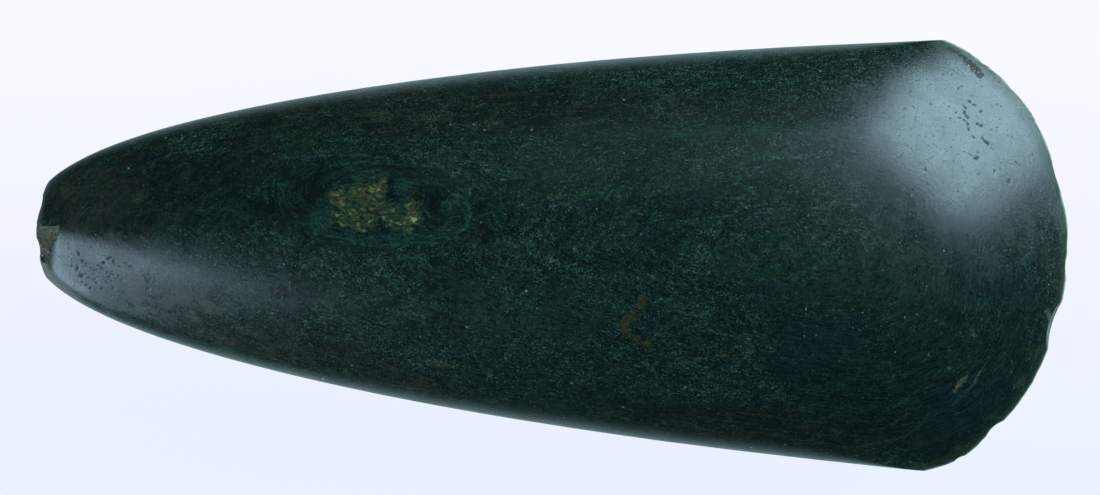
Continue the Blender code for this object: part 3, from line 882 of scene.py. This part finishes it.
def greenstoneFinish():
    use = Finish("polishedGreenstone")
    g = greenstone
    layers = use.field("layers", "Vector")
    spot = use.stretch(addNode(use.tree, "TexCoord").outputs["Object"], (mm, mm, mm))
    split = addNode(use.tree, "SeparateXYZ", {0: layers})
    along, across = split.outputs[0], split.outputs[1]

    # Felted grains and fibres that follow the layers, in clusters and slow patches
    grit = use.cloud(spot, 0.17, 1, 0.6)
    fine = use.cloud(spot, 0.34, 2, 0.6, 0.2)
    felt = use.cloud(layers, (0.95, 0.95, 0.27), 3, 0.62, 0.5)
    cluster = use.cloud(layers, (2.2, 2.2, 1.1), 2, 0.5, 0.6)
    patch = use.cloud(layers, (9.0, 9.0, 3.2), 3, 0.55, 1.2)
    drift = use.cloud(layers, (7.0, 7.0, 2.2), 3, 0.6, 0.8)
    thread = use.cloud(layers, (2.6, 2.6, 0.14), 2, 0.6, 0.2)
    ragged = use.sway(drift, 6.0)
    calm = use.area("calm", ragged, -1.5, 3.0)
    vivid = use.less(calm, 0.35)
    grains = use.plus(use.times(fine, 0.5), use.times(felt, 0.5))
    tone = use.plus(
        grains, use.times(use.sway(grit, 0.58), vivid), use.sway(cluster, 0.22),
        use.sway(patch, 0.23), use.times(calm, -0.035), use.sway(thread, 0.14),
    )
    colour = use.mix(use.step(tone, 0.32, 0.53), g["deep"], g["body"])
    hue = use.step(use.cloud(spot, 1.5, 3, 0.6, 0.3), 0.42, 0.60)
    pale = use.mix(hue, g["paleGreen"], g["paleBlue"])
    colour = use.over(colour, pale, use.step(tone, 0.50, 0.65), vivid)
    colour = use.over(colour, g["glint"], use.step(tone, 0.61, 0.74, 0.0, 0.9), vivid)

    # Greener and bluer areas, a green vein, and faint fibres where the stone is calm
    for name, tint in (("greener", "green"), ("bluer", "blue")):
        near = use.area(name, ragged, -1.0, 2.5)
        colour = use.over(colour, g[tint], near, use.step(felt, 0.39, 0.61, 0.03, 0.53))
    greenSpeck = use.step(use.cloud(spot, 0.75, 2, 0.6), 0.52, 0.66, 0.0, 0.5)
    colour = use.over(colour, g["green"], greenSpeck, vivid)
    vein = use.area("vein", use.sway(drift, 2.4), -0.7, 1.0)
    veined = use.times(use.step(thread, 0.40, 0.60, 0.10, 0.75), use.step(felt, 0.38, 0.60, 0.35, 1.0))
    colour = use.over(colour, g["vein"], vein, veined)
    colour = use.over(colour, g["fibre"], calm, use.step(thread, 0.50, 0.64, 0.0, 0.42))

    # Brown haze with blotches and long thin streaks
    streak = use.cloud(layers, (6.0, 6.0, 0.34), 3, 0.6, 0.3)
    blotch = use.cloud(layers, (3.2, 3.2, 1.8), 3, 0.62, 0.8)
    worn = use.area("worn", ragged, -2.0, 2.0)
    hazy = use.times(use.area("haze", ragged, -1.8, 2.0), use.less(worn, 0.7))
    colour = use.over(colour, g["umber"], hazy, use.step(blotch, 0.40, 0.58, 0.25, 0.8))
    colour = use.over(colour, g["haze"], hazy, use.step(streak, 0.50, 0.66),
                      use.step(fine, 0.40, 0.60, 0.1, 0.6))
    colour = use.over(colour, g["haze"], hazy, use.step(blotch, 0.44, 0.34),
                      use.step(fine, 0.40, 0.62, 0.1, 0.4))

    # The poll's patina: brown-black and blue-black mottles, olive patches and small tan spots
    mottle = use.cloud(spot, 2.8, 3, 0.6, 0.8)
    dapple = use.cloud(spot, 1.1, 3, 0.65, 0.5)
    fleck = use.cloud(spot, 0.62, 2, 0.6, 0.4)
    patina = use.mix(use.step(mottle, 0.38, 0.58), g["pollBlue"], g["pollDark"])
    patina = use.over(patina, g["pollOlive"], use.step(dapple, 0.44, 0.66, 0.0, 0.9),
                      use.step(fine, 0.36, 0.62))
    tan = use.times(use.step(fleck, 0.50, 0.70), use.step(mottle, 0.44, 0.58, 0.1, 0.6))
    patina = use.over(patina, g["pollTan"], tan, use.step(fine, 0.38, 0.60, 0.2, 1.0))
    tip = use.area("tip", ragged, -2.5, 2.0, 0.0, 0.80)
    patina = use.over(patina, g["tip"], tip, use.step(fleck, 0.38, 0.60, 0.35, 1.0))
    colour = use.over(colour, patina, worn, use.step(streak, 0.58, 0.45, 0.20, 0.90),
                      use.step(fine, 0.66, 0.42, 0.65, 1.0))

    # The dark swirl about the inclusion, with thin broken lines in it
    hush = use.area("hush", use.sway(drift, 4.0), -0.8, 1.8)
    colour = use.over(colour, g["dark"], hush, use.step(cluster, 0.40, 0.62, 0.66, 0.26))
    colour = use.over(
        colour, g["teal"], hush, use.step(thread, 0.52, 0.61), use.step(cluster, 0.38, 0.58, 0.08, 0.55),
        use.step(fine, 0.36, 0.58, 0.35, 1.0),
    )
    broke = use.sway(use.cloud(layers, (1.1, 1.1, 0.6), 4, 0.72, 0.4), 1.3)
    shown = use.step(use.cloud(spot, 0.9, 2, 0.6, 0.3), 0.38, 0.54, 0.25, 1.0)
    for name, width, most in (("wisp", 0.24, 0.92), ("faintWisp", 0.19, 0.55), ("bladeWisp", 0.18, 0.50)):
        away = use.math("ABSOLUTE", use.plus(use.field(name), broke, -0.05))
        colour = use.over(colour, g["wisp"], use.step(away, width, 0.04), shown, most)

    # The inclusion: torn shreds of olive, brown and green in fibrous teal, flush with the polish
    torn = use.bend(spot, 1.0, 0.9)
    shred = use.cloud(torn, (1.1, 0.50, 1.0), 4, 0.70, 0.4)
    tear = use.sway(shred, 3.6)
    fibre = use.times(use.step(thread, 0.36, 0.62, 0.30, 0.95), use.step(fine, 0.38, 0.58, 0.30, 1.0))
    for name, tint, high, most in (
        ("inclusionTeal", "teal", 0.6, 1.0), ("inclusionDark", "dark", 0.9, 0.66),
    ):
        colour = use.over(colour, g[tint], use.area(name, tear, -0.2, high, 0.0, most), fibre)
    pick = use.cells(torn, (0.95, 0.55, 0.9))[1]
    smallPick = use.cells(torn, (0.38, 0.24, 0.5))[1]
    bright = use.area("inclusionBright", use.times(tear, 0.25), -0.25, 0.3)
    inner = use.field("inclusion")
    chance = use.plus(
        use.times(pick, 0.46), use.times(smallPick, 0.46), use.sway(shred, 0.5), 0.06,
        use.times(bright, 0.16), use.step(inner, 0.0, 0.8, -0.14, 0.0),
    )
    mosaic = use.ramp(chance, (0.14, 0.36, 0.52, 0.66, 0.82, 0.98), g["lamina"])
    brown = use.ramp(chance, (0.12, 0.36, 0.60, 0.84), g["brownLamina"])
    brownShare = use.area("inclusionBrown", use.times(tear, 0.7), -0.4, 0.7)
    brownShare = use.times(brownShare, use.step(pick, 0.30, 0.7, 0.1, 0.8))
    mosaic = use.over(mosaic, brown, brownShare, use.step(bright, 1.0, 0.0, 0.3, 1.0))
    mosaic = use.over(mosaic, g["dark"], use.step(shred, 0.44, 0.36, 0.0, 0.80))
    mass = use.step(use.plus(inner, use.times(tear, 0.85)), -0.35, 0.20, 0.0, 0.95)
    colour = use.over(colour, mosaic, mass)
    # Painted shade: a dark strip beside the inclusion's right lobe stands for the shade of a recessed
    # border, though the surface is flush
    paintedShade = use.area("inclusionShade", use.times(tear, 0.3), -0.1, 0.3, 0.0, 0.9)
    colour = use.over(colour, g["dark"], paintedShade)
    cream = use.area("inclusionCream", use.times(tear, 0.12), -0.12, 0.15, 0.0, 0.75)
    colour = use.over(colour, g["cream"], cream)

    # Stains in the grain, lines, a painted highlight beside a chip, the tan cracks and the pale crease
    fray = use.sway(use.cloud(spot, 0.7, 3, 0.7, 0.5), 1.8)
    grainy = use.step(fine, 0.38, 0.60, 0.30, 1.0)
    for name, most in (("ochre", 0.36), ("rust", 0.42)):
        stain = use.area(name, use.times(fray, 0.7), -0.25, 0.45, 0.0, most)
        colour = use.over(colour, g[name], stain, grainy)
    traces = {}
    for name, tint, width, most in (
        ("streak", "orange", 0.80, 0.60), ("thinStreak", "orange", 0.50, 0.66),
        ("crease", "crease", 0.24, 0.36), ("oliveThread", "ochre", 0.34, 0.40),
        ("chipHighlight", "chipHighlight", 0.50, 0.50), ("chalk", "chalk", 1.3, 0.80),
    ):
        line = use.area(name, use.times(fray, 0.5), width, width * 0.3, 0.0, most)
        traces[name] = use.times(line, use.step(fine, 0.34, 0.54, 0.5, 1.0))
        colour = use.over(colour, g[tint], traces[name])
    tanned = use.area("rimTan", use.times(fray, 0.9), -0.4, 0.5, 0.0, 0.45)
    colour = use.over(colour, g["rimTan"], tanned, grainy)
    crumbs = use.cloud(use.bend(spot, 0.6, 0.3), 0.42, 3, 0.7, 0.2)
    crumbled = use.sway(crumbs, 3.0)
    crack = use.step(use.plus(use.field("crack"), use.times(fray, 0.6), crumbled), 0.40, 1.05)
    colour = use.over(colour, g["tan"], crack, use.step(fine, 0.38, 0.58, 0.35, 0.80))

    # Painted light: the thin edge is tinted paler green for the light let through it, and a pale painted
    # line at the very rim stands for the light it catches
    edge = use.field("edge")
    edgeGlow = use.step(use.plus(edge, use.times(fray, 0.35)), 1.4, 0.0)
    lit = use.step(use.field("dimRimLight"), -3.0, 4.0, 1.0, 0.5)
    colour = use.over(colour, g["edge"], edgeGlow, lit, use.step(along, 14.0, 5.0, 0.62, 0.92))
    chipped = use.less(use.field("chip"), 0.45)
    whole = use.times(lit, chipped, use.step(dapple, 0.36, 0.58, 0.50, 1.0))
    # Painted highlight: a pale line at the very rim, weaker on chips
    rim = use.step(use.plus(edge, use.times(fray, 0.15)), 0.40, 0.06, 0.0, 0.85)
    colour = use.over(colour, g["rim"], rim, whole, use.step(along, 5.0, 20.0, 0.15, 1.0))

    # The break at the poll: brown crumbs on top, dark below, with painted highlights along its crest and
    # its rim border
    lump = use.cloud(spot, 0.9, 4, 0.68, 0.4)
    chunk = use.cloud(spot, 1.3, 3, 0.6, 0.5)
    facet = use.mix(use.step(chunk, 0.40, 0.62), g["brokenDark"], g["broken"])
    facet = use.over(facet, g["brokenDark"], use.step(across, -0.9, -3.2, 0.0, 0.85))
    facet = use.over(facet, g["brokenBrown"], use.step(lump, 0.48, 0.58, 0.0, 0.80))
    facet = use.over(facet, g["brokenDark"], use.step(fleck, 0.50, 0.38, 0.0, 0.90))
    # Painted light along the break's rim, and below a painted highlight on its crest
    border = use.step(use.plus(edge, use.times(fray, 0.6)), 0.8, 0.0, 0.0, 0.60)
    facet = use.over(facet, g["brokenEdgeLight"], border)
    facet = use.over(facet, g["pocket"], use.field("hollow"), 0.85)
    crestHighlight = use.step(use.field("breakEdge"), 0.30, 0.04, 0.0, 0.55)
    facet = use.over(facet, g["brokenEdgeLight"], crestHighlight, use.step(across, -3.2, -1.0, 0.1, 1.0))
    broken = use.field("broken")
    colour = use.over(colour, facet, broken)

    # Scar, pits, smudges and specks
    scar = use.step(use.plus(use.field("scar"), use.times(fray, 0.6), crumbled), 0.40, 0.95)
    colour = use.over(colour, g["scar"], scar, use.step(lump, 0.38, 0.58, 0.30, 0.9))
    colour = use.over(colour, g["rust"], use.step(use.field("scarRed"), -0.1, 0.15, 0.0, 0.6))
    colour = use.over(colour, g["speck"], use.step(use.field("scarDot"), -0.06, 0.08, 0.0, 0.7))
    pit = use.plus(use.field("pit"), use.sway(crumbs, 2.4), use.sway(lump, 0.8))
    pit = use.times(use.step(pit, 0.16, 0.68), use.step(use.field("pit"), 0.0, 0.2))
    spots = use.area("spotted", use.times(fray, 0.8), -0.4, 0.8)
    pit = use.math("MAXIMUM", pit, use.times(spots, use.step(crumbs, 0.53, 0.61)))
    inPit = use.mix(use.step(lump, 0.46, 0.62, 0.0, 0.5), g["pollDark"], g["scar"])
    colour = use.over(colour, inPit, pit, 0.80)
    dirty = use.plus(use.field("smudge"), use.times(fray, 0.8), use.sway(dapple, 1.4))
    dirty = use.times(use.step(dirty, -0.5, 1.2), use.step(fleck, 0.40, 0.58, 0.25, 1.0))
    colour = use.over(colour, g["pollTan"], dirty, 0.6)
    colour = use.over(colour, g["speck"], use.area("speck", use.sway(fine, 0.3), 0.25, 0.85, 0.0, 0.85))

    # Tiny pits everywhere, sparse, and sparse painted glints: tiny pale dots in the colour that stand for
    # sparkles of light
    away, random = use.cells(spot, 0.95)
    dots = use.times(use.step(away, 0.20, 0.08), use.step(random, 0.84, 0.92))
    away, random = use.cells(use.bend(spot, 2.0, 1.0), 1.6)
    paintedGlints = use.times(use.step(away, 0.11, 0.04), use.step(random, 0.84, 0.92), vivid)
    colour = use.over(colour, g["speck"], paintedGlints, 0.45)
    use.tree.links.new(colour, use.shader.inputs["Base Color"])

    # Hairline scratches in three directions
    hair = []
    for turn, shift in g["scratches"]:
        turned = addNode(use.tree, "VectorRotate", {"Vector": spot, "Angle": math.radians(turn)},
                         rotation_type="Z_AXIS").outputs[0]
        moved = addNode(use.tree, "VectorMath", {0: turned, 1: (shift, shift, shift)}, operation="ADD")
        hair.append(use.step(use.cloud(moved.outputs[0], (7.0, 0.16, 7.0), 1, 0.5, 0.1), 0.66, 0.78))
    hair = use.plus(*hair)

    base = g["roughness"]
    rough = use.step(use.cloud(spot, 3.5, 3, 0.6, 0.3), 0.3, 0.7, base - 0.03, base + 0.04)
    uneven = use.plus(use.sway(dapple, 0.40), use.sway(mottle, 0.40), 0.02)
    rough = use.plus(rough, use.sway(fine, 0.14), use.sway(felt, 0.08), use.times(worn, uneven))
    nearBlade = use.step(use.field("blade"), 2.6, 0.5)
    for mask, more in (
        (dots, 0.12), (scar, 0.30), (broken, 0.13), (pit, 0.34), (use.field("chip"), 0.22),
        (dirty, 0.08), (crack, 0.2), (traces["chalk"], 0.40), (hair, 0.09), (nearBlade, 0.12),
    ):
        rough = use.math("MULTIPLY_ADD", mask, more, rough)
    rough = use.math("MAXIMUM", use.math("MINIMUM", rough, g["roughest"]), g["glossiest"])
    use.tree.links.new(rough, use.shader.inputs["Roughness"])

    # Fine relief: grains, scratches, tiny pits, and grit where the stone is broken
    gritty = use.times(use.math("ADD", broken, scar, clamp=True), lump, 6.0)
    height = use.plus(use.times(grains, 1.3), use.times(hair, -0.18), use.times(dots, -0.30), gritty)
    relieved = {"Height": height, "Strength": 1.0, "Distance": g["reliefDepth"] * mm}
    bump = addNode(use.tree, "Bump", relieved)
    use.tree.links.new(bump.outputs[0], use.shader.inputs["Normal"])
    use.shader.inputs["IOR"].default_value = g["refraction"]
    return use.material


# The light table and what the stone mirrors of it, softboxes and a dim room
lightTable = {
    "size": 4.0,
    "top": (0.930, 0.947, 0.991),
    "middle": (0.871, 0.887, 1.000),
    "bottom": (0.815, 0.863, 1.000),
    "reach": 0.032,  # the colour drifts over this far to either side of the stone
    "glow": 0.985,
    "paper": 0.06,  # the share that catches shadows
    "drop": 0.00005,
    "mirrored": (0.58, 0.90, 1.0),
    "rings": [(0.0, 0.78), (0.012, 0.70), (0.020, 0.48), (0.028, 0.26), (0.037, 0.08), (0.050, 0.0)],
    # Where the ring is brighter or dimmer: heading in degrees, spread, change
    "uneven": [(217, 26, 0.4), (178, 15, -0.5), (140, 34, -0.65), (270, 30, -0.2)],
    "sidePoints": 60,
    "sideCrowding": 1.5,  # towards the poll
    "edgePoints": 40,
    "edgeShare": 0.999,
}
softboxes = {
    "upper": {
        "azimuth": 36, "elevation": 25.0, "roll": 20, "size": (0.74, 0.96), "light": 8.1,
        "colour": (0.58, 0.86, 1),
    },
    "lower": {
        "azimuth": 217, "elevation": 20, "roll": 15, "size": (0.54, 1.62), "light": 5.2,
        "colour": (0.59, 0.83, 1),
    },
    "halo": {
        "azimuth": 42, "elevation": 57, "roll": 0, "size": (0.66, 0.44), "light": 0.54,
        "colour": (0.60, 0.88, 1),
    },
    "ceiling": {
        "azimuth": 70, "elevation": 56, "roll": 0, "size": (0.9, 0.9), "light": 0.14,
        "colour": (0.62, 0.90, 1),
    },
}
softboxDistance = 1.2
room = {"light": (0.016, 0.021, 0.024, 1), "seen": (0.87, 0.89, 1.0, 1)}


def glowMaterial(name, colour, strength):
    made = bpy.data.materials.new(name)
    made.use_nodes = True
    tree = made.node_tree
    tree.nodes.remove(tree.nodes["Principled BSDF"])
    glow = addNode(tree, "Emission", {0: colour, 1: strength})
    tree.links.new(glow.outputs[0], tree.nodes["Material Output"].inputs[0])
    return made, tree, glow


def layTable():
    bpy.ops.mesh.primitive_plane_add(size=lightTable["size"], location=(0, 0, -lightTable["drop"]))
    table = bpy.context.object
    table.name = "lightTable"
    table.visible_glossy = table.visible_shadow = False
    paper, tree, glow = glowMaterial("lightTablePaper", (1, 1, 1, 1), lightTable["glow"])
    place = addNode(tree, "TexCoord").outputs["Object"]
    height = addNode(tree, "SeparateXYZ", {0: place}).outputs[1]
    inputs = {"Value": height, "From Min": -lightTable["reach"], "From Max": lightTable["reach"]}
    ramp = addNode(tree, "ValToRGB", {0: addNode(tree, "MapRange", inputs).outputs[0]})
    ramp.color_ramp.elements.new(0.5)
    for element, name in zip(ramp.color_ramp.elements, ("bottom", "middle", "top")):
        element.color = (*lightTable[name], 1)
    tree.links.new(ramp.outputs[0], glow.inputs[0])
    paperColour = (*[lightTable["paper"] * channel for channel in lightTable["middle"]], 1)
    matte = addNode(tree, "BsdfDiffuse", {0: paperColour})
    both = addNode(tree, "AddShader", {0: glow.outputs[0], 1: matte.outputs[0]})
    tree.links.new(both.outputs[0], tree.nodes["Material Output"].inputs[0])
    table.data.materials.append(paper)


def layMirroredTable():
    # Rings about the stone's outline, seen only in its polish, that fade outwards
    crowding, share = lightTable["sideCrowding"], lightTable["edgeShare"]
    x = np.linspace(0, cornerX, lightTable["sidePoints"]) ** crowding / cornerX ** (crowding - 1)
    y = np.linspace(share, -share, lightTable["edgePoints"]) * stone["width"] / 2
    side = np.stack([x, halfWidth(x)], 1)
    outline = np.concatenate([side, np.stack([evenLine(y), y], 1), side[::-1] * (1, -1)])
    outline = (outline - (stone["length"] / 2, 0)) * mm
    ahead = np.roll(outline, -1, 0) - np.roll(outline, 1, 0)
    outward = np.stack([-ahead[:, 1], ahead[:, 0]], 1)
    outward /= np.maximum(np.linalg.norm(outward, axis=1), tiny)[:, None]
    heading = np.degrees(np.arctan2(outward[:, 1], outward[:, 0])) % 360
    level = 1 + sum(change * np.exp(-((heading - towards) / spread) ** 2)
                    for towards, spread, change in lightTable["uneven"])
    shape = bmesh.new()
    rings, strengths = [], []
    for away, strength in lightTable["rings"]:
        around = outline + outward * away
        rings.append([shape.verts.new((a, b, -2 * lightTable["drop"])) for a, b in around])
        strengths += list(strength * level)
    shape.faces.new(rings[0])
    for inner, outer in zip(rings, rings[1:]):
        for i in range(len(inner)):
            shape.faces.new([inner[i - 1], inner[i], outer[i], outer[i - 1]])
    mesh = bpy.data.meshes.new("mirroredTable")
    shape.to_mesh(mesh)
    shape.free()
    mesh.attributes.new("glow", "FLOAT", "POINT").data.foreach_set("value", strengths)
    panel = bpy.data.objects.new("mirroredTable", mesh)
    bpy.context.scene.collection.objects.link(panel)
    panel.visible_camera = panel.visible_diffuse = panel.visible_shadow = False
    lit, tree, glow = glowMaterial("mirroredTableGlow", (*lightTable["mirrored"], 1), 1)
    tree.links.new(addNode(tree, "Attribute", attribute_name="glow").outputs["Fac"], glow.inputs[1])
    mesh.materials.append(lit)


def hangLights():
    for name, box in softboxes.items():
        lamp = bpy.data.lights.new(name + "Softbox", "AREA")
        lamp.shape = "RECTANGLE"
        lamp.size, lamp.size_y = box["size"]
        lamp.energy = box["light"] * math.pi * lamp.size * lamp.size_y
        lamp.color = box["colour"]
        azimuth, elevation = math.radians(box["azimuth"]), math.radians(box["elevation"])
        towards = Vector((
            math.cos(azimuth) * math.cos(elevation), math.sin(azimuth) * math.cos(elevation),
            math.sin(elevation),
        ))
        holder = bpy.data.objects.new(name + "Softbox", lamp)
        holder.location = towards * softboxDistance
        roll = Quaternion((0, 0, 1), math.radians(box["roll"]))
        holder.rotation_euler = (towards.to_track_quat("Z", "Y") @ roll).to_euler()
        holder.visible_camera = False
        bpy.context.scene.collection.objects.link(holder)


def dimRoom():
    # Dim for the stone, and pale where the camera looks past the table
    world = bpy.data.worlds.new("dimRoom")
    bpy.context.scene.world = world
    world.use_nodes = True
    tree = world.node_tree
    dim = tree.nodes["Background"]
    dim.inputs[0].default_value = room["light"]
    seen = addNode(tree, "Background", {0: room["seen"]})
    camera = addNode(tree, "LightPath").outputs["Is Camera Ray"]
    both = addNode(tree, "MixShader", {0: camera, 1: dim.outputs[0], 2: seen.outputs[0]})
    tree.links.new(both.outputs[0], tree.nodes["World Output"].inputs[0])
    bpy.context.scene.view_settings.view_transform = "Standard"


def placeCamera():
    camera = bpy.data.cameras.new("fromAbove")
    camera.lens, camera.sensor_width = view["lens"], view["sensor"]
    camera.clip_start = 0.01
    height = stone["thickness"] / 2 - stone["restFlat"] + view["distance"]
    holder = bpy.data.objects.new("fromAbove", camera)
    holder.location = Vector((*view["over"], height)) * mm
    holder.rotation_euler = (0, 0, view["turn"])
    bpy.context.scene.collection.objects.link(holder)
    bpy.context.scene.camera = holder


celt = shapeStone()
celt.data.materials.append(greenstoneFinish())
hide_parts("celt")
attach(celt, "root")
print("stone shaped and finished")
layTable()
layMirroredTable()
hangLights()
dimRoom()
placeCamera()
print("table, lights and camera placed")
